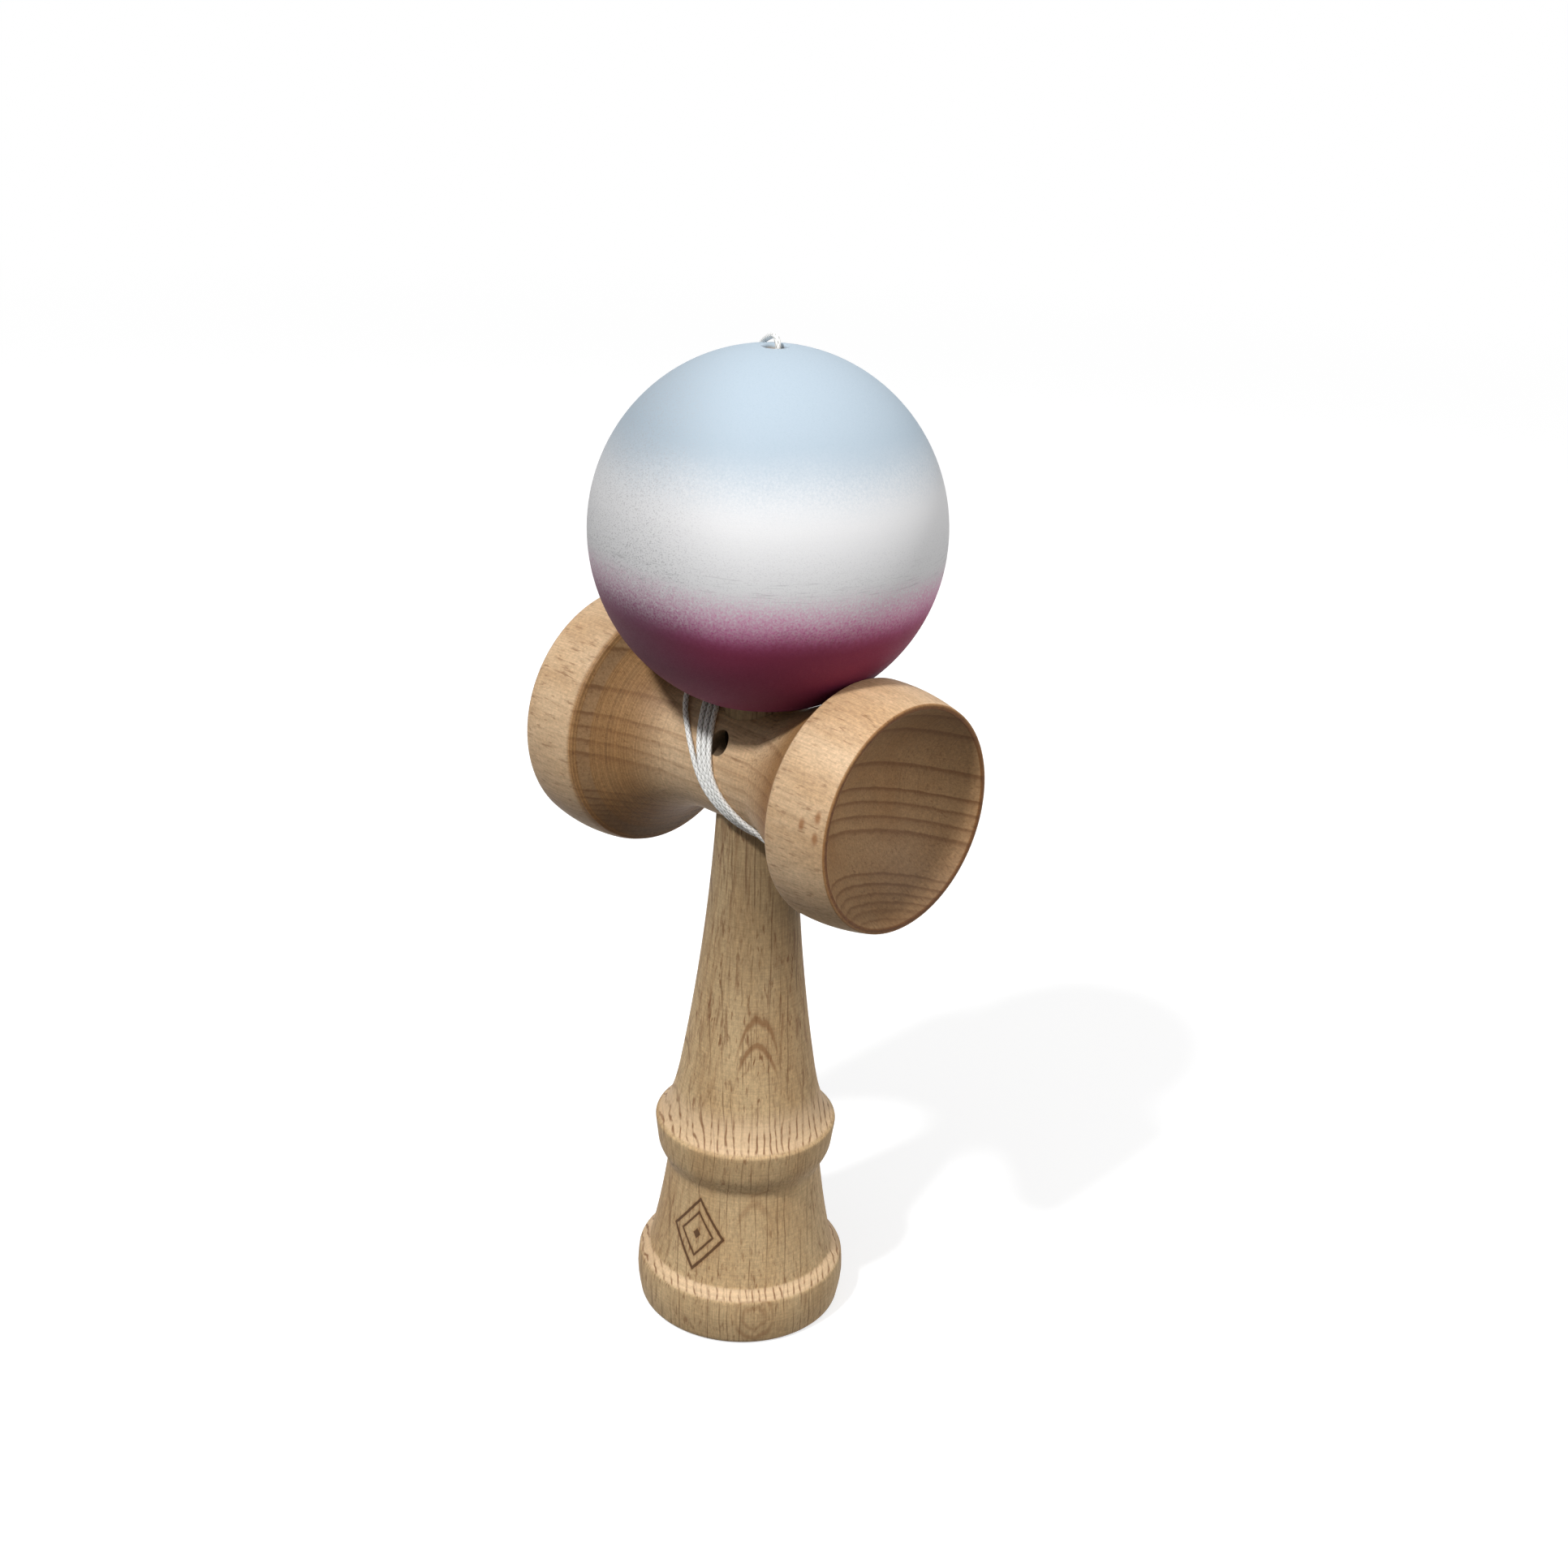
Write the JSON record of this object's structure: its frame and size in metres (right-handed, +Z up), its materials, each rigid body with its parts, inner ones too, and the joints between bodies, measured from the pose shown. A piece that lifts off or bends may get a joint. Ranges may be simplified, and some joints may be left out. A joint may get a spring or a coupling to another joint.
{
  "type": "kendama",
  "caption": "Turned wooden handle with a cross-piece of two cups, and a bored painted ball that sits on its spike and hangs from a wound string.",
  "frame": {"origin": "middle of the base's flat rim, on the handle's axis", "axes": "+Z up the handle towards the spike, +X along the cross-piece towards the small cup, -Y towards the front string hole"},
  "size_m": [0.0704, 0.06, 0.1823],
  "materials": {
    "ken_beech": "bare sanded beech, grain along the handle",
    "sarado_beech": "bare sanded beech, grain along the cross-piece",
    "tama_paint": "wood under matt sprayed paint that fades from pale blue through white to magenta",
    "bead_wood": "bare turned wood",
    "string": "white braided polyester"
  },
  "bodies": {
    "handle": {"ken": "ken_beech", "sarado": "sarado_beech", "anchor_knot": "string", "string_winding": "string", "string_lead": "string"},
    "string_end": {"string_bead": "bead_wood", "bead_knot": "string", "string_in_tama": "string"},
    "ball": {"tama": "tama_paint"}
  },
  "joints": [
    {"name": "tama_lift", "type": "slide", "parent": "handle", "child": "string_end", "axis": [0, 0, 1], "range_m": [0, 0.042], "deforming": ["string_lead"]},
    {"name": "tama_spin", "type": "hinge", "parent": "string_end", "child": "ball", "pos_m": [0, 0, 0.15], "axis": [0, 0, 1], "continuous": true}
  ]
}
